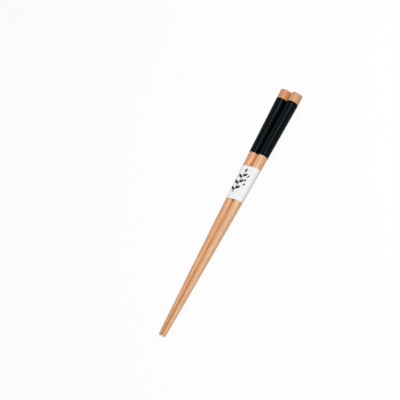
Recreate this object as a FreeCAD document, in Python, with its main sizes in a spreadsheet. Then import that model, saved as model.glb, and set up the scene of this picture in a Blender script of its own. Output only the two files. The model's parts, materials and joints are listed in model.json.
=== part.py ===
import FreeCAD, Part
import math
import os
import Sketcher

Vector = FreeCAD.Vector

# Driving sizes in millimetres. A station is a distance along a stick, counted from its tip.
sizes = {
    "stickLength": 225.0,
    "buttDiameter": 9.64,
    "middleDiameter": 7.02,  # halfway along, and over the mean of the two ends, so the side bows outwards
    "tipDiameter": 2.74,
    "buttRounding": 0.4,
    "tipRounding": 1.0,
    "capLength": 8.4,  # bare wood above the thread
    "wrapLength": 52.2,
    "threadThickness": 0.18,
    "bareLength": 12.3,  # bare wood between the thread and the band
    "bandWidth": 30.2,
    "paperThickness": 0.07,
    "lapWidth": 2.2,  # of the glued lap at the band's wider edge
    "lapRamp": 0.6,  # over which the lap's outer layer leaves the inner one
    "bandClearance": 0.02,
    "touchClearance": 0.01,  # from each stick to the plane between the two
}

# Values worked out from them. The wood's radius at a station is tipRadius + taper * station - bow * station ^ 2.
# The pair lies on the edges of the thread and on the band's lap. The sticks touch each other at the edges of the
# thread and at the belly, where the line between the two touchings runs along the wood.
worked = {
    "tipRadius": "Sizes.tipDiameter / 2",
    "taper": "(4 * Sizes.middleDiameter - 3 * Sizes.tipDiameter - Sizes.buttDiameter) / (2 * Sizes.stickLength)",
    "bow": "(2 * Sizes.middleDiameter - Sizes.tipDiameter - Sizes.buttDiameter) / Sizes.stickLength ^ 2",
    "leastBow": "1e-9",  # under which the side counts as straight
    "wrapEnd": "Sizes.stickLength - Sizes.capLength",
    "wrapStart": "wrapEnd - Sizes.wrapLength",
    "bandEnd": "wrapStart - Sizes.bareLength",
    "bandStart": "bandEnd - Sizes.bandWidth",
    "bandMiddle": "(bandStart + bandEnd) / 2",
    "threadEdge": "Sizes.threadThickness / 2",
    "wrapReach": "tipRadius + taper * wrapStart - bow * wrapStart ^ 2 + Sizes.threadThickness",
    "lapLayer": "Sizes.bandClearance + 2 * Sizes.paperThickness",
    "lapSeat": "min(bandEnd; max(bandStart; wrapStart"
               " - sqrt(max(Sizes.threadThickness - lapLayer; 0) / max(bow; leastBow))))",
    "lapReach": "tipRadius + taper * lapSeat - bow * lapSeat ^ 2 + lapLayer",
    "rise": "(wrapReach - lapReach) / (wrapStart - lapSeat)",
    "tipHeight": "lapReach - rise * lapSeat",
    "belly": "max(0; wrapStart - sqrt(Sizes.threadThickness / max(bow; leastBow)))",
    "bellyRadius": "tipRadius + taper * belly - bow * belly ^ 2",
    "spread": "(wrapReach - bellyRadius) / (wrapStart - belly)",
    "tipOffset": "Sizes.touchClearance + bellyRadius - spread * belly",
}

doc = FreeCAD.newDocument("chopsticks")


def addSheet(name, cells):
    sheet = doc.addObject("Spreadsheet::Sheet", name)
    for row, (alias, content) in enumerate(cells, 1):
        sheet.set(f"A{row}", alias)
        sheet.set(f"B{row}", content)
        sheet.setAlias(f"B{row}", alias)
    return sheet


addSheet("Sizes", [(alias, str(size)) for alias, size in sizes.items()])
formulas = addSheet("Worked", [(alias, f"={formula}") for alias, formula in worked.items()])
doc.recompute()


def value(formula):
    return float(formulas.evalExpression(formula))


def spot(place):
    across, along = place
    return Vector(value(across), value(along), 0)


# Formulas for a stick at a station: the radius of its wood under a layer, and its axis seen along the pair.
def radiusAt(station, layer="0"):
    return f"(Worked.tipRadius + Worked.taper * {station} - Worked.bow * ({station}) ^ 2 + {layer})"


def axisAt(station):
    return f"(Worked.tipOffset + Worked.spread * {station})", f"(Worked.tipHeight + Worked.rise * {station})"


def addSketch(body, name, role):
    sketch = body.newObject("Sketcher::SketchObject", name)
    origin = next(feature for feature in body.Origin.OriginFeatures if feature.Role == role)
    sketch.AttachmentSupport = (origin, "")
    sketch.MapMode = "FlatFace"
    return sketch


def bind(sketch, name, formula, kind, *ends):
    sketch.renameConstraint(sketch.addConstraint(Sketcher.Constraint(kind, *ends, value(formula))), name)
    sketch.setExpression(f"Constraints.{name}", formula)


# Holds one point of a sketch at a place of two formulas, or on the axis where a formula is zero.
def pin(sketch, name, geometry, end, place):
    for word, kind, axis, formula in zip(("Across", "Along"), ("DistanceX", "DistanceY"), (-2, -1), place):
        if formula == "0":
            sketch.addConstraint(Sketcher.Constraint("PointOnObject", geometry, end, axis))
        else:
            bind(sketch, name + word, formula, kind, -1, 1, geometry, end)


def addLine(sketch, start, finish):
    return sketch.addGeometry(Part.LineSegment(spot(start), spot(finish)))


def addArc(sketch, name, centre, radius, degrees):
    circle = Part.Circle(spot(centre), Vector(0, 0, 1), value(radius))
    arc = sketch.addGeometry(Part.ArcOfCircle(circle, *(math.radians(angle) for angle in degrees)))
    bind(sketch, name + "Radius", radius, "Radius", arc)
    return arc


# The turned side between two stations, under a layer. Each stretch is a parabola, held by its three poles.
def addSide(sketch, name, start, finish, layer="0", stretches=3):
    stations = [f"({start} + ({finish} - {start}) * {i} / {stretches})" for i in range(stretches + 1)]
    curves = []
    for low, high in zip(stations, stations[1:]):
        middle = f"(({low} + {high}) / 2)"
        bend = f"(Worked.tipRadius + Worked.taper * {middle} - Worked.bow * {low} * {high} + {layer})"
        places = [(radiusAt(low, layer), low), (bend, middle), (radiusAt(high, layer), high)]
        parabola = Part.BSplineCurve()
        parabola.buildFromPoles([spot(place) for place in places], False, 2)
        curve = sketch.addGeometry(parabola)
        sketch.exposeInternalGeometry(curve)
        poles = [link.First for link in sketch.Constraints
                 if link.Type == "InternalAlignment" and link.Second == curve and link.FirstPos == 3]
        if curves:
            sketch.addConstraint(Sketcher.Constraint("Coincident", curves[-1], 2, curve, 1))
        for number in range(bool(curves), len(poles)):
            pin(sketch, f"{name}{len(curves)}Pole{number}", poles[number], 3, places[number])
        curves.append(curve)
    return (curves[0], 1), (curves[-1], 2)


# Joins pieces end to end, and the last to the first. A piece is one line or arc, or the two ends of several.
def closeLoop(sketch, *pieces):
    ends = [piece if isinstance(piece, tuple) else ((piece, 1), (piece, 2)) for piece in pieces]
    for (_, finish), (start, _) in zip(ends, ends[1:] + ends[:1]):
        sketch.addConstraint(Sketcher.Constraint("Coincident", *finish, *start))


def addTurned(body, sketch):
    turned = body.newObject("PartDesign::Revolution", "turned")
    turned.Profile = sketch
    turned.ReferenceAxis = (sketch, ["V_Axis"])
    turned.Angle = 360
    sketch.Visibility = False


# A body that lies along one stick: side is 1 at +X and -1 at -X.
def addOnStick(name, side):
    body = doc.addObject("PartDesign::Body", name)
    body.Label = name
    body.setExpression("Placement",
                       f"placement(vector({side} * Worked.tipOffset; -Sizes.stickLength / 2; Worked.tipHeight);"
                       f" rotation({-side} * atan(Worked.spread); 0; atan(Worked.rise)))")
    return body


def addStick(name, side):
    body = addOnStick(name, side)
    sketch = addSketch(body, "halfSection", "XY_Plane")
    tipEnd = "Sizes.tipRounding"
    buttEnd = "(Sizes.stickLength - Sizes.buttRounding)"
    tipFlat = (radiusAt(tipEnd, "-Sizes.tipRounding"), "0")
    buttFlat = (radiusAt(buttEnd, "-Sizes.buttRounding"), "Sizes.stickLength")
    tipFace = addLine(sketch, ("0", "0"), tipFlat)
    tipEdge = addArc(sketch, "tipEdge", (tipFlat[0], tipEnd), "Sizes.tipRounding", (-90, 0))
    flank = addSide(sketch, "flank", tipEnd, buttEnd)
    buttEdge = addArc(sketch, "buttEdge", (buttFlat[0], buttEnd), "Sizes.buttRounding", (0, 90))
    buttFace = addLine(sketch, buttFlat, ("0", "Sizes.stickLength"))
    axis = addLine(sketch, ("0", "Sizes.stickLength"), ("0", "0"))
    closeLoop(sketch, tipFace, tipEdge, flank, buttEdge, buttFace, axis)
    pin(sketch, "origin", axis, 2, ("0", "0"))
    pin(sketch, "tipFlat", tipFace, 2, tipFlat)
    pin(sketch, "buttFlat", buttFace, 1, buttFlat)
    pin(sketch, "buttCentre", buttFace, 2, ("0", "Sizes.stickLength"))
    addTurned(body, sketch)


# The winding is a sleeve here, whose first and last turns fall away by half the thread.
def addWrap(name, side):
    body = addOnStick(name, side)
    sketch = addSketch(body, "halfSection", "XY_Plane")
    start, finish, edge, thread = "Worked.wrapStart", "Worked.wrapEnd", "Worked.threadEdge", "Sizes.threadThickness"
    outerStart, outerFinish = f"({start} + {edge})", f"({finish} - {edge})"
    top = (radiusAt(finish, f"{thread} - {edge}"), finish)
    bottom = (radiusAt(start, f"{thread} - {edge}"), start)
    seat = addSide(sketch, "seat", start, finish)
    lastTurn = addLine(sketch, (radiusAt(finish), finish), top)
    topEdge = addLine(sketch, top, (radiusAt(outerFinish, thread), outerFinish))
    outside = addSide(sketch, "outside", outerStart, outerFinish, thread)
    bottomEdge = addLine(sketch, (radiusAt(outerStart, thread), outerStart), bottom)
    firstTurn = addLine(sketch, bottom, (radiusAt(start), start))
    closeLoop(sketch, seat, lastTurn, topEdge, outside[::-1], bottomEdge, firstTurn)
    pin(sketch, "top", lastTurn, 2, top)
    pin(sketch, "bottom", firstTurn, 1, bottom)
    addTurned(body, sketch)


# A section of the band stands across the pair at a station, with X across and Z up.
def addSection(body, name, station):
    sketch = addSketch(body, name, "XZ_Plane")
    sketch.setExpression("AttachmentOffset.Base.z", f"Sizes.stickLength / 2 - {station}")
    return sketch


# The taut line round both sticks, with a layer between it and the wood.
def addRound(body, name, station, layer):
    sketch = addSection(body, name, station)
    radius = radiusAt(station, layer)
    offset, height = axisAt(station)
    low, high = f"{height} - {radius}", f"{height} + {radius}"
    under = addLine(sketch, (f"-{offset}", low), (offset, low))
    right = addArc(sketch, "right", (offset, height), radius, (-90, 90))
    over = addLine(sketch, (offset, high), (f"-{offset}", high))
    left = addArc(sketch, "left", (f"-{offset}", height), radius, (90, 270))
    pin(sketch, "rightCentre", right, 3, (offset, height))
    pin(sketch, "leftCentre", left, 3, (f"-{offset}", height))
    for one, other in ((under, right), (right, over), (over, left), (left, under)):
        sketch.addConstraint(Sketcher.Constraint("Tangent", one, 2, other, 1))
    return sketch


# The strip's free end, glued under the pair. The strip is straight and the sticks taper, so the lap is a wedge:
# it widens towards the tips by what the way round shrinks.
def addLap(body, name, station):
    sketch = addSection(body, name, station)
    wall = "Sizes.bandClearance + Sizes.paperThickness"
    wayRound, widestWay = (f"(2 * pi * {radiusAt(place, wall)} + 4 * {axisAt(place)[0]})"
                           for place in (station, "Worked.bandEnd"))
    half = f"(Sizes.lapWidth + {widestWay} - {wayRound}) / 2"
    height = axisAt(station)[1]
    inside = f"{height} - {radiusAt(station, 'Sizes.bandClearance + Sizes.paperThickness / 2')}"
    outside = f"{height} - {radiusAt(station, wall + ' + Sizes.paperThickness')}"
    cut = f"{half} + Sizes.lapRamp / 2"
    corners = [(f"Sizes.lapRamp / 2 - {half}", outside), (cut, outside), (cut, inside),
               (f"-{half} - Sizes.lapRamp / 2", inside)]
    lines = [addLine(sketch, start, finish) for start, finish in zip(corners, corners[1:] + corners[:1])]
    closeLoop(sketch, *lines)
    for number, corner in enumerate(corners):
        pin(sketch, f"corner{number}", lines[number], 1, corner)
    return sketch


def addBand(name):
    body = doc.addObject("PartDesign::Body", name)
    body.Label = name
    stations = {"narrow": "Worked.bandStart", "middle": "Worked.bandMiddle", "wide": "Worked.bandEnd"}
    outer = "Sizes.bandClearance + Sizes.paperThickness"
    for feature, kind, section in (
        ("wall", "AdditiveLoft", lambda label, station: addRound(body, label, station, outer)),
        ("inside", "SubtractiveLoft", lambda label, station: addRound(body, label, station, "Sizes.bandClearance")),
        ("lap", "AdditiveLoft", lambda label, station: addLap(body, label, station)),
    ):
        first, *others = [section(feature + place.title(), station) for place, station in stations.items()]
        loft = body.newObject(f"PartDesign::{kind}", feature)
        loft.Profile = first
        loft.Sections = others
        loft.Ruled = True


for end, side in (("left", -1), ("right", 1)):
    addStick(f"chopstick_{end}", side)
    addWrap(f"thread_wrap_{end}", side)
addBand("paper_band")
doc.recompute()

failed = [thing.Name for thing in doc.Objects if {"Invalid", "Error"} & set(thing.State)]
bodies = [thing for thing in doc.Objects if thing.TypeId == "PartDesign::Body"]
failed += [body.Label for body in bodies if body.Shape.isNull() or not body.Shape.isValid()]
if failed:
    raise RuntimeError(f"not built: {failed}")

os.makedirs("parts", exist_ok=True)
for body in bodies:
    body.Shape.exportStep(f"parts/{body.Label}.step")
    print(body.Label, f"{body.Shape.Volume:.1f} mm3", body.Shape.BoundBox)
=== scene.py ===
import json
import math

import bmesh
import bpy
from mathutils import Matrix, Vector


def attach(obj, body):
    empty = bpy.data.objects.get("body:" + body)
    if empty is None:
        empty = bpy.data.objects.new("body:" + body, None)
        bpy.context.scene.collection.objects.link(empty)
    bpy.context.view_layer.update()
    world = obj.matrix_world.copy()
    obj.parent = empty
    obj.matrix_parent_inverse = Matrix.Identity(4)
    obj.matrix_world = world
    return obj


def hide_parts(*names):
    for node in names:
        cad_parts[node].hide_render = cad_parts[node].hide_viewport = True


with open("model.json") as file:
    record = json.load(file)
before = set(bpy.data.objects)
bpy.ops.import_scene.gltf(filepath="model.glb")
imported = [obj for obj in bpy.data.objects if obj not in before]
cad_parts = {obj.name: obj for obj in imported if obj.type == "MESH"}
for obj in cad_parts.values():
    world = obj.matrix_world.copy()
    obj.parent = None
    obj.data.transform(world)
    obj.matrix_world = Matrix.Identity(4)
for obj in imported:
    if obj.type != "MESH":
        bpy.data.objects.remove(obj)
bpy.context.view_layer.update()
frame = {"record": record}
mm = 0.001
print("frame loaded")

# Sizes that several pieces share, in millimetres. A station is a distance from the sticks' tips.
pair = {
    "length": 225.0,
    "tipDiameter": 2.74,
    "middleDiameter": 7.02,
    "buttDiameter": 9.64,
    "bandStart": 121.9,
    "bandEnd": 152.1,
    "wrapStart": 164.4,
    "wrapEnd": 216.6,
    "sameSpot": 0.002,  # how near two points are that count as one
}


# A stick's radius. It swells a little between its ends, on a quadratic curve through the three diameters.
def woodRadius(station):
    share = station / pair["length"]
    bow = 2 * pair["middleDiameter"] - pair["tipDiameter"] - pair["buttDiameter"]
    straight = pair["tipDiameter"] + (pair["buttDiameter"] - pair["tipDiameter"]) * share
    return (straight + 2 * bow * share * (1 - share)) / 2


# Where a stick lies: +Y runs along its axis, from the middle of its tip.
def stickPlace(side):
    mount = next(m for m in frame["record"]["mounts"] if m["name"] == f"butt_face_{side}")
    along = Vector(mount["axis"]).normalized()
    across = along.cross(Vector((0, 0, 1))).normalized()
    turn = Matrix((across, along, across.cross(along))).transposed().to_4x4()
    return Matrix.Translation(Vector(mount["pos_m"]) - along * pair["length"] * mm) @ turn


places = {side: stickPlace(side) for side in ("left", "right")}


def finishPiece(name, bm, material, node, sharpAngle=40):
    bmesh.ops.recalc_face_normals(bm, faces=bm.faces)
    for edge in bm.edges:
        edge.smooth = edge.calc_face_angle(0) < math.radians(sharpAngle)
    mesh = bpy.data.meshes.new(name)
    bm.to_mesh(mesh)
    bm.free()
    mesh.shade_smooth()
    mesh.materials.append(material)
    piece = bpy.data.objects.new(name, mesh)
    bpy.context.scene.collection.objects.link(piece)
    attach(piece, "root")
    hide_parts(node)
    print(f"{name} made, {len(mesh.polygons)} faces")


# A socket in a material. A sum written with it adds its Math nodes.
class Wire:
    def __init__(self, recipe, socket):
        self.recipe = recipe
        self.socket = socket

    def maths(self, operation, *others):
        return self.recipe.add("ShaderNodeMath", {"operation": operation}, enumerate((self, *others)))

    def __add__(self, other):
        return self.maths("ADD", other)

    def __sub__(self, other):
        return self.maths("SUBTRACT", other)

    def __rsub__(self, other):
        return self * -1 + other

    def __mul__(self, other):
        return self.maths("MULTIPLY", other)

    __radd__ = __add__
    __rmul__ = __mul__

    # 0 below low, 1 above high, and smooth between them. It falls where low is the higher one.
    def step(self, low, high):
        inputs = {"Value": self, "From Min": low, "From Max": high}
        return self.recipe.add("ShaderNodeMapRange", {"interpolation_type": "SMOOTHSTEP"}, inputs)


# A material or a world under construction. The method add makes every node: its settings, then its inputs.
class Recipe:
    def __init__(self, owner):
        owner.use_nodes = True
        self.tree = owner.node_tree
        self.tree.nodes.clear()

    def add(self, kind, settings=(), inputs=(), out=0):
        node = self.tree.nodes.new(kind)
        for key, setting in dict(settings).items():
            setattr(node, key, setting)
        for key, value in dict(inputs).items():
            if isinstance(value, Wire):
                self.tree.links.new(value.socket, node.inputs[key])
            else:
                node.inputs[key].default_value = value
        return Wire(self, node.outputs[out]) if node.outputs else node

    def noise(self, point, detail, out=0):
        return self.add("ShaderNodeTexNoise", {}, {"Vector": point, "Scale": 1.0, "Detail": detail}, out)

    def stretched(self, point, factors):
        return self.add("ShaderNodeVectorMath", {"operation": "MULTIPLY"}, {0: point, 1: factors})

    def parts(self, point):
        first = self.add("ShaderNodeSeparateXYZ", {}, {0: point})
        return [Wire(self, output) for output in first.socket.node.outputs]

    # The node's two colours are its inputs 6 and 7, and the mixed one is its output 2.
    def mix(self, share, one, other):
        return self.add("ShaderNodeMix", {"data_type": "RGBA"}, {0: share, 6: one, 7: other}, 2)

    def bump(self, height, distance):
        return self.add("ShaderNodeBump", {}, {"Height": height, "Distance": distance, "Strength": 1.0})

    def principled(self, inputs):
        shader = self.add("ShaderNodeBsdfPrincipled", {}, inputs)
        self.add("ShaderNodeOutputMaterial", {}, {"Surface": shader})


# A colour as a paint program gives it, from 0 to 255, turned into what a shader takes.
def paint(*channels):
    shares = [channel / 255 for channel in channels]
    return (*(share / 12.92 if share <= 0.04045 else ((share + 0.055) / 1.055) ** 2.4 for share in shares), 1)


white = paint(255, 255, 255)

# Wood. Each stick has its own cut of it. Waves are how many a pattern has in a millimetre, across and along
# the grain. Edges are the values between which a pattern comes in. A tone says how far it moves the colour
# from warm to pale, a share how much dark it mixes in.
wood = {
    "ringSpacing": 1.5,
    "ringWander": 6.6,
    "ringWaves": (0.12, 0.012),
    "ringEdges": (0.35, 0.92),
    "ringEndEdges": (1.0, 0.94),
    "ringTone": -0.6,
    "streakWaves": (0.9, 0.035),
    "streakTone": 3.8,
    "fibreWaves": (5.5, 0.12),
    "fibreTone": 1.2,
    "fibreHeight": 0.7,
    "fibreRoughness": 0.2,
    "fleckWaves": (2.6, 0.24),
    "fleckEdges": (0.60, 0.70),
    "fleckShare": 0.4,
    "fleckHeight": -0.3,
    "poreWaves": (9.0, 0.45),
    "poreEdges": (0.64, 0.72),
    "poreShare": 0.45,
    "poreHeight": -1.0,
    "capEdges": (206.0, 220.0),  # stations between which the wood grows darker and duller towards the butt
    "capTone": -0.7,
    "capShare": 0.25,
    "capRoughness": 0.14,
    "sawnEdges": (-0.06, -0.01),  # measured from the butt
    "sawnRingShare": 0.7,
    "sawnPoreShare": 0.2,
    "evenTone": 0.62,
    "roughness": 0.26,
    "shine": 0.55,
    "depth": 0.03,
    "left": {
        "pith": (-21.0, -9.0),
        "shift": 0.0,
        "pale": paint(239, 178, 129),
        "warm": paint(219, 154, 104),
        "dark": paint(182, 114, 66),
    },
    "right": {
        "pith": (9.0, -24.0),
        "shift": 370.0,
        "pale": paint(241, 196, 154),
        "warm": paint(220, 166, 118),
        "dark": paint(190, 126, 84),
    },
}


def grain(recipe, point, kind, detail):
    across, along = wood[f"{kind}Waves"]
    return recipe.noise(recipe.stretched(point, (across, along, across)), detail)


def woodMaterial(side):
    cut = wood[side]
    material = bpy.data.materials.new(f"wood_{side}")
    recipe = Recipe(material)

    # a point on the stick, in millimetres, and the same point in the stick's own cut of the wood
    coordinates = recipe.add("ShaderNodeTexCoord", out="Object")
    origin, turn = places[side].translation, places[side].to_euler()
    mapping = {"Vector": coordinates, "Location": origin, "Rotation": turn, "Scale": (mm, mm, mm)}
    onStick = recipe.add("ShaderNodeMapping", {"vector_type": "TEXTURE"}, mapping)
    station = recipe.parts(onStick)[1]
    shift = (0, cut["shift"], 0)
    point = recipe.add("ShaderNodeVectorMath", {"operation": "ADD"}, {0: onStick, 1: shift})
    across, _, up = recipe.parts(point)

    # growth rings, seen along the stick as long drawn-out bands
    bend = grain(recipe, point, "ring", detail=2)
    pithX, pithZ = cut["pith"]
    centred = recipe.add("ShaderNodeCombineXYZ", {}, {"X": across - pithX, "Y": up - pithZ})
    distance = recipe.add("ShaderNodeVectorMath", {"operation": "LENGTH"}, {0: centred}, "Value")
    phase = ((distance + bend * wood["ringWander"]) * (1 / wood["ringSpacing"])).maths("FRACT")
    rings = phase.step(*wood["ringEdges"]) * phase.step(*wood["ringEndEdges"])

    # streaks, fibres, flecks and pores, all drawn out along the grain
    streaks = grain(recipe, point, "streak", detail=3)
    fibres = grain(recipe, point, "fibre", detail=3)
    flecks = grain(recipe, point, "fleck", detail=1).step(*wood["fleckEdges"])
    pores = grain(recipe, point, "pore", detail=1).step(*wood["poreEdges"])

    # the wood darker and duller towards the butt, and the sawn butt, where the rings show end-on
    cap = station.step(*wood["capEdges"])
    sawnFrom, sawnTo = (pair["length"] + edge for edge in wood["sawnEdges"])
    sawn = station.step(sawnFrom, sawnTo)
    tone = (streaks - 0.5) * wood["streakTone"] + (fibres - 0.5) * wood["fibreTone"] + wood["evenTone"]
    tone = tone + rings * wood["ringTone"] + cap * wood["capTone"]
    colour = recipe.mix(tone.step(0.0, 1.0), cut["warm"], cut["pale"])
    sawnShare = sawn * (rings * wood["sawnRingShare"] + pores * wood["sawnPoreShare"])
    for share in (flecks * wood["fleckShare"], pores * wood["poreShare"], cap * wood["capShare"], sawnShare):
        colour = recipe.mix(share, colour, cut["dark"])
    height = fibres * wood["fibreHeight"] + pores * wood["poreHeight"] + flecks * wood["fleckHeight"]
    recipe.principled({
        "Base Color": colour,
        "Roughness": fibres * wood["fibreRoughness"] + cap * wood["capRoughness"] + wood["roughness"],
        "Specular IOR Level": wood["shine"],
        "Normal": recipe.bump(height, wood["depth"] * mm),
    })
    return material


stick = {
    "sides": 72,
    "rings": 70,
    "tipRounding": 1.3,
    "buttRounding": 0.4,
    "roundingSteps": 5,
}


def makeStick(side):
    length = pair["length"]
    tip, butt = pair["tipDiameter"] / 2, pair["buttDiameter"] / 2
    bm = bmesh.new()
    bmesh.ops.create_cone(bm, cap_ends=True, segments=stick["sides"], radius1=tip, radius2=butt, depth=length)
    bmesh.ops.rotate(bm, verts=bm.verts, matrix=Matrix.Rotation(-math.pi / 2, 3, "X"))
    bmesh.ops.translate(bm, verts=bm.verts, vec=(0, length / 2, 0))
    for station, rounding in ((0, stick["tipRounding"]), (length, stick["buttRounding"])):
        rim = [e for e in bm.edges if all(abs(v.co.y - station) < pair["sameSpot"] for v in e.verts)]
        bmesh.ops.bevel(bm, geom=rim, offset=rounding, segments=stick["roundingSteps"], profile=0.5,
                        affect="EDGES", material=-1)

    # the long edges are cut into rings, so that the flank can swell
    flank = [e for e in bm.edges if e.calc_length() > length / 2]
    bmesh.ops.subdivide_edges(bm, edges=flank, cuts=stick["rings"], use_grid_fill=True)
    for vert in bm.verts:
        swell = woodRadius(vert.co.y) / (tip + (butt - tip) * vert.co.y / length)
        vert.co.x *= swell
        vert.co.z *= swell
    bmesh.ops.transform(bm, verts=bm.verts, matrix=places[side] @ Matrix.Scale(mm, 4))
    finishPiece(f"turned_stick_{side}", bm, woodMaterial(side), f"chopstick_{side}")


for side in places:
    makeStick(side)

# Thread. It is one helix on each stick, a little flattened, with its two ends tucked under. Waves are in one
# turn, and for the fluff also round the thread.
thread = {
    "pitch": 0.3,
    "thickness": 0.176,
    "squeeze": 1.03,  # a turn's width over the pitch
    "flatness": 0.5,  # 1 leaves the thread round, 0 makes it square
    "outerCrowding": 0.6,  # how much the section's points gather on its outer side, which is seen
    "sectionSides": 12,
    "stepsPerTurn": 32,
    "tuckedTurns": 0.12,  # how much of a turn dives under at each end
    "sharpAngle": 80,
    "plies": 2,
    "plyTwists": 34,
    "plyTone": 0.12,
    "plyDepth": 0.003,
    "fluffWaves": (260.0, 7.0),
    "fluffTone": 0.8,
    "fluffHeight": 0.5,
    "fluffRoughness": 0.12,
    "patchWaves": 1.3,
    "patchTone": 0.9,
    "evenTone": 0.25,
    "colour": paint(1, 4, 5),
    "worn": paint(5, 10, 12),
    "sheen": paint(214, 246, 255),
    "roughness": 0.14,
    "shine": 0.085,
}
thread["turns"] = (pair["wrapEnd"] - pair["wrapStart"]) / thread["pitch"] - 1


def threadMaterial():
    material = bpy.data.materials.new("black_thread")
    recipe = Recipe(material)
    winding = recipe.add("ShaderNodeUVMap", {"uv_map": "winding"})
    turnShare, about, _ = recipe.parts(winding)
    twist = turnShare * thread["turns"] * thread["plyTwists"] + about * thread["plies"]
    ply = (twist * (2 * math.pi)).maths("SINE")
    alongWaves, aboutWaves = thread["fluffWaves"]
    fluffWaves = (alongWaves * thread["turns"], aboutWaves, 1.0)
    fluff = recipe.noise(recipe.stretched(winding, fluffWaves), detail=2)
    patchWaves = thread["patchWaves"] * thread["turns"]
    patches = recipe.noise(recipe.stretched(winding, (patchWaves, 0.0, 1.0)), detail=2)
    wear = ply * thread["plyTone"] + (fluff - 0.5) * thread["fluffTone"] + thread["evenTone"]
    wear = wear + (patches - 0.5) * thread["patchTone"]
    recipe.principled({
        "Base Color": recipe.mix(wear.step(0.0, 1.0), thread["colour"], thread["worn"]),
        "Roughness": fluff * thread["fluffRoughness"] + thread["roughness"],
        "Specular IOR Level": thread["shine"],
        "Specular Tint": thread["sheen"],
        "Normal": recipe.bump(ply + fluff * thread["fluffHeight"], thread["plyDepth"] * mm),
    })
    return material


# A point of the thread, so many turns from its start and so far round its own section, which is a circle that
# the winding has pressed towards a square
def onWinding(turn, about):
    pitch, thickness = thread["pitch"], thread["thickness"]
    start = pair["wrapStart"] + pitch / 2
    fromEnd = max(0, min(turn, thread["turns"] - turn)) / thread["tuckedTurns"]
    dive = thickness * max(0, 1 - fromEnd) ** 2
    about -= thread["outerCrowding"] * math.sin(about)
    section = (math.sin(about), math.cos(about))
    aside, out = (math.copysign(abs(part) ** thread["flatness"], part) for part in section)
    station = start + pitch * (turn + thread["squeeze"] / 2 * aside)
    radius = woodRadius(start + pitch * turn) + thickness / 2 * (1 + out) - dive
    return Vector((radius * math.cos(2 * math.pi * turn), station, -radius * math.sin(2 * math.pi * turn)))


def makeWrap(side, material):
    turns, sides = thread["turns"], thread["sectionSides"]
    bm = bmesh.new()
    bm.loops.layers.uv.new("winding")
    bmesh.ops.create_grid(bm, x_segments=round(turns * thread["stepsPerTurn"]), y_segments=sides, size=0.5,
                          calc_uvs=True)
    # the grid runs from -0.5 to 0.5 both ways: along the thread in x, round it in y
    for vert in bm.verts:
        vert.co = onWinding((vert.co.x + 0.5) * turns, 2 * math.pi * vert.co.y)
    bmesh.ops.remove_doubles(bm, verts=bm.verts, dist=pair["sameSpot"])
    bmesh.ops.holes_fill(bm, edges=[e for e in bm.edges if e.is_boundary], sides=sides)
    bmesh.ops.transform(bm, verts=bm.verts, matrix=places[side] @ Matrix.Scale(mm, 4))
    finishPiece(f"wound_thread_{side}", bm, material, f"thread_wrap_{side}", thread["sharpAngle"])


blackThread = threadMaterial()
for side in places:
    makeWrap(side, blackThread)

# Paper. A flat strip is rolled round both sticks, and its outer end is glued over its inner end underneath.
# Waves are in a millimetre.
band = {
    "clearance": 0.02,
    "thickness": 0.07,
    "lapWidth": 2.2,
    "lapRamp": 0.6,
    "skew": 0.075,  # the band sits a little askew: further up on its +X side
    "across": 240,
    "along": 24,
    "fibreWaves": 5.0,
    "fibreTone": 0.8,
    "fibreHeight": 0.7,
    "cloudWaves": 0.35,
    "cloudTone": 0.6,
    "evenTone": 0.35,
    "colour": paint(251, 252, 253),
    "shade": paint(243, 245, 246),
    "roughness": 0.82,
    "shine": 0.2,
    "depth": 0.02,
}
band["width"] = pair["bandEnd"] - pair["bandStart"]


# The radius of the paper's inner side, and how far out and how high the right stick's axis is there
def bandSection(station):
    start = places["right"].translation / mm
    along = places["right"].col[1].to_3d()
    point = start + along * (station - pair["length"] / 2 - start.y) / along.y
    return woodRadius(station) + band["clearance"], point.x, point.z


# The way round both sticks there, with nothing lying double
def wayRound(station):
    radius, offset, _ = bandSection(station)
    return 2 * math.pi * radius + 4 * offset


stripLength = wayRound(pair["bandEnd"]) + band["lapWidth"]


# A point of the flat strip, way millimetres from its inner end, on the pair: from under the middle by +X,
# over the top and back under. What the way round lacks of the strip's length lies double.
def onPair(station, way):
    radius, offset, height = bandSection(station)
    halfLap = (stripLength - wayRound(station)) / 2
    lift = band["thickness"] * min(1, max(0, (way - stripLength + 2 * halfLap) / band["lapRamp"] + 0.5))
    arc = math.pi * radius
    if way < halfLap + offset:
        x, z = way - halfLap, -radius  # flat, to under the right stick
    elif way < halfLap + offset + arc:
        angle = (way - halfLap - offset) / radius
        x, z = offset + radius * math.sin(angle), -radius * math.cos(angle)  # up round the right stick
    elif way < halfLap + 3 * offset + arc:
        x, z = halfLap + 2 * offset + arc - way, radius  # flat, over the top
    elif way < halfLap + 3 * offset + 2 * arc:
        angle = (way - halfLap - 3 * offset - arc) / radius
        x, z = -offset - radius * math.sin(angle), radius * math.cos(angle)  # down round the left stick
    else:
        x, z = way - halfLap - 4 * offset - 2 * arc, -radius - lift  # flat, back under and over the lap
    return Vector((x, station - pair["length"] / 2 + band["skew"] * x, height + z))


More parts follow.
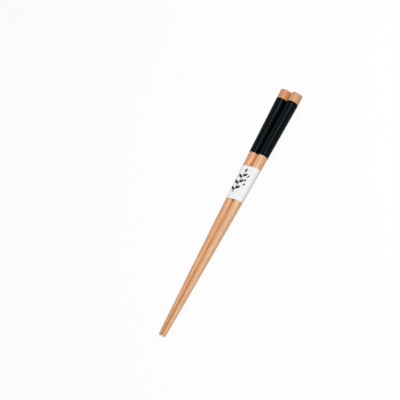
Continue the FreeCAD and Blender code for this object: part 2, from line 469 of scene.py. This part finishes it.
# The print on the paper: a sprig in brushed ink. Places are millimetres from the middle of the top and from
# the band's lower edge, leaves are (across, along, turn in degrees, length, width).
sprig = {
    "stem": ((-3.2, 5.4), (-2.4, 11.2), (-1.8, 17.8), (-1.1, 24.4)),
    "stemWidth": 0.6,
    "stemEdge": 0.24,
    "leaves": (
        (-4.5, 8.9, 138, 4.4, 2.3),
        (-0.9, 10.5, 40, 4.6, 2.4),
        (-4.0, 14.8, 138, 4.6, 2.4),
        (-0.2, 16.4, 42, 4.6, 2.4),
        (-3.4, 20.5, 136, 4.4, 2.3),
        (0.4, 22.0, 44, 4.4, 2.3),
        (-0.9, 26.0, 84, 3.8, 1.9),
        (3.4, 13.8, 62, 2.8, 1.5),
        (2.8, 17.6, 118, 2.6, 1.5),
        (3.6, 21.2, 66, 2.8, 1.4),
    ),
    "leafEdge": 0.12,
    "leafBelly": 0.12,  # how much wider a leaf is towards its point
    "brushWander": 0.5,
    "brushWaves": 1.2,
    "dryWaves": 7.0,
    "dryEdges": (0.30, 0.48),
    "leastInk": 0.8,
    "ink": paint(12, 13, 15),
    "inkGloss": 0.2,
}


def sprigMask(recipe, across, along):
    brush = {"X": across * sprig["brushWaves"], "Y": along * sprig["brushWaves"]}
    wander = recipe.noise(recipe.add("ShaderNodeCombineXYZ", {}, brush), detail=2, out=1)
    wanderX, wanderY, _ = recipe.parts(wander)
    x = across + (wanderX - 0.5) * sprig["brushWander"]
    y = along + (wanderY - 0.5) * sprig["brushWander"]
    masks = []
    for leafX, leafY, turn, length, width in sprig["leaves"]:
        ahead, aside = math.cos(math.radians(turn)), math.sin(math.radians(turn))
        run = ((x - leafX) * ahead + (y - leafY) * aside) * (2 / length)
        side = ((y - leafY) * ahead - (x - leafX) * aside) * (2 / width)
        body = 1 - run * run - side.maths("ABSOLUTE") + run * sprig["leafBelly"]
        masks.append(body.step(-sprig["leafEdge"], sprig["leafEdge"]))
    edge = sprig["stemEdge"]
    for (startX, startY), (endX, endY) in zip(sprig["stem"], sprig["stem"][1:]):
        length = math.hypot(endX - startX, endY - startY)
        ahead, aside = (endX - startX) / length, (endY - startY) / length
        run = (x - startX) * ahead + (y - startY) * aside
        side = ((y - startY) * ahead - (x - startX) * aside).maths("ABSOLUTE") * (2 / sprig["stemWidth"])
        masks.append(side.step(1 + edge, 1 - edge) * run.step(-edge, 0) * run.step(length, length - edge))
    total = masks[0]
    for mask in masks[1:]:
        total = total.maths("MAXIMUM", mask)
    return total


def paperMaterial():
    material = bpy.data.materials.new("white_paper")
    recipe = Recipe(material)
    flat = recipe.add("ShaderNodeUVMap", {"uv_map": "strip"})
    wayShare, stationShare, _ = recipe.parts(flat)
    along = stationShare * band["width"]
    across = stripLength / 2 - wayShare * stripLength
    sheet = recipe.add("ShaderNodeCombineXYZ", {}, {"X": across, "Y": along})

    def sheetNoise(waves, detail):
        return recipe.noise(recipe.stretched(sheet, (waves, waves, 1.0)), detail)

    fibres = sheetNoise(band["fibreWaves"], detail=4)
    clouds = sheetNoise(band["cloudWaves"], detail=2)
    tone = (fibres - 0.5) * band["fibreTone"] + (clouds - 0.5) * band["cloudTone"] + band["evenTone"]
    paper = recipe.mix(tone.step(0, 1), band["colour"], band["shade"])
    wet = sheetNoise(sprig["dryWaves"], detail=3).step(*sprig["dryEdges"])
    ink = sprigMask(recipe, across, along) * (wet * (1 - sprig["leastInk"]) + sprig["leastInk"])
    recipe.principled({
        "Base Color": recipe.mix(ink, paper, sprig["ink"]),
        "Roughness": band["roughness"] - ink * sprig["inkGloss"],
        "Specular IOR Level": band["shine"],
        "Normal": recipe.bump(fibres * band["fibreHeight"] + clouds, band["depth"] * mm),
    })
    return material


def makeBand():
    bm = bmesh.new()
    bm.loops.layers.uv.new("strip")
    bmesh.ops.create_grid(bm, x_segments=band["across"], y_segments=band["along"], size=0.5, calc_uvs=True)
    # the grid runs from -0.5 to 0.5 both ways: round the pair in x, along it in y
    for vert in bm.verts:
        station = pair["bandStart"] + (vert.co.y + 0.5) * band["width"]
        vert.co = onPair(station, (vert.co.x + 0.5) * stripLength)
    bmesh.ops.recalc_face_normals(bm, faces=bm.faces)
    bmesh.ops.solidify(bm, geom=bm.faces[:], thickness=band["thickness"])
    bmesh.ops.transform(bm, verts=bm.verts, matrix=Matrix.Scale(mm, 4))
    finishPiece("paper_strip", bm, paperMaterial(), "paper_band")


makeBand()

# Floor, lights and camera. Places and sizes are in metres for the first two, in millimetres for the camera,
# whose angles are in degrees.
studio = {
    "floorSize": 4.0,
    "floorColour": paint(178, 178, 178),
    "floorWhite": 0.85,  # share of plain white in the seen floor, whose other share takes the shadow
    "worldLight": 0.42,  # how strong the air is for rays that don't show the background
    "keyPlace": (0.42, 0.30, 0.90),
    "keySize": (0.10, 0.50),
    "keyPower": 5.9,
    "fillPlace": (-0.9, -0.5, 0.7),
    "fillSize": (0.8, 0.8),
    "fillPower": 0.4,
}
shot = {
    "aim": (-32.24, 1.11, 0.0),
    "distance": 776.32,
    "azimuth": 68.689,
    "elevation": 53.092,
    "roll": 43.607,
    "lens": 85.0,
}


# 1 for the rays that show the background as it is: the camera's own, and those that gloss or glass sends on
def seenShare(recipe):
    path = recipe.add("ShaderNodeLightPath", out="Is Camera Ray")
    rays = [Wire(recipe, path.socket.node.outputs[f"Is {kind} Ray"]) for kind in ("Glossy", "Transmission")]
    return path.maths("MAXIMUM", rays[0]).maths("MAXIMUM", rays[1])


def makeFloor():
    material = bpy.data.materials.new("white_floor")
    recipe = Recipe(material)
    seen = seenShare(recipe)
    colour = recipe.mix(seen, studio["floorColour"], white)
    matte = recipe.add("ShaderNodeBsdfDiffuse", {}, {"Color": colour})
    bright = recipe.add("ShaderNodeEmission", {}, {"Color": white, "Strength": 1.0})
    shader = recipe.add("ShaderNodeMixShader", {}, {0: seen * studio["floorWhite"], 1: matte, 2: bright})
    recipe.add("ShaderNodeOutputMaterial", {}, {"Surface": shader})
    bm = bmesh.new()
    bmesh.ops.create_grid(bm, x_segments=1, y_segments=1, size=studio["floorSize"] / 2)
    mesh = bpy.data.meshes.new("floor")
    bm.to_mesh(mesh)
    bm.free()
    mesh.materials.append(material)
    floor = bpy.data.objects.new("floor", mesh)
    bpy.context.scene.collection.objects.link(floor)


def makeWorld():
    world = bpy.data.worlds.new("studio_air")
    bpy.context.scene.world = world
    recipe = Recipe(world)
    strength = seenShare(recipe) * (1 - studio["worldLight"]) + studio["worldLight"]
    air = recipe.add("ShaderNodeBackground", {}, {"Color": white, "Strength": strength})
    recipe.add("ShaderNodeOutputWorld", {}, {"Surface": air})


# A lamp that faces the pair. Its second size lies along the sticks.
def makeLamp(name):
    light = bpy.data.lights.new(name, "AREA")
    light.shape = "RECTANGLE"
    light.size, light.size_y = studio[f"{name}Size"]
    light.energy = studio[f"{name}Power"]
    lamp = bpy.data.objects.new(name, light)
    lamp.location = studio[f"{name}Place"]
    back = lamp.location.normalized()
    across = Vector((0, 1, 0)).cross(back).normalized()
    lamp.rotation_euler = Matrix((across, back.cross(across), back)).transposed().to_euler()
    bpy.context.scene.collection.objects.link(lamp)


def makeCamera():
    azimuth, elevation, roll = (math.radians(shot[key]) for key in ("azimuth", "elevation", "roll"))
    back = Vector((math.sin(azimuth) * math.cos(elevation), -math.cos(azimuth) * math.cos(elevation),
                   math.sin(elevation)))
    camera = bpy.data.objects.new("camera", bpy.data.cameras.new("camera"))
    camera.data.lens = shot["lens"]
    camera.location = (Vector(shot["aim"]) + back * shot["distance"]) * mm
    level = (-back).to_track_quat("-Z", "Y").to_matrix()
    camera.rotation_euler = (level @ Matrix.Rotation(-roll, 3, "Z")).to_euler()
    bpy.context.scene.collection.objects.link(camera)
    bpy.context.scene.camera = camera


makeFloor()
makeWorld()
makeLamp("key")
makeLamp("fill")
makeCamera()
bpy.context.scene.view_settings.view_transform = "Standard"
print("studio made")
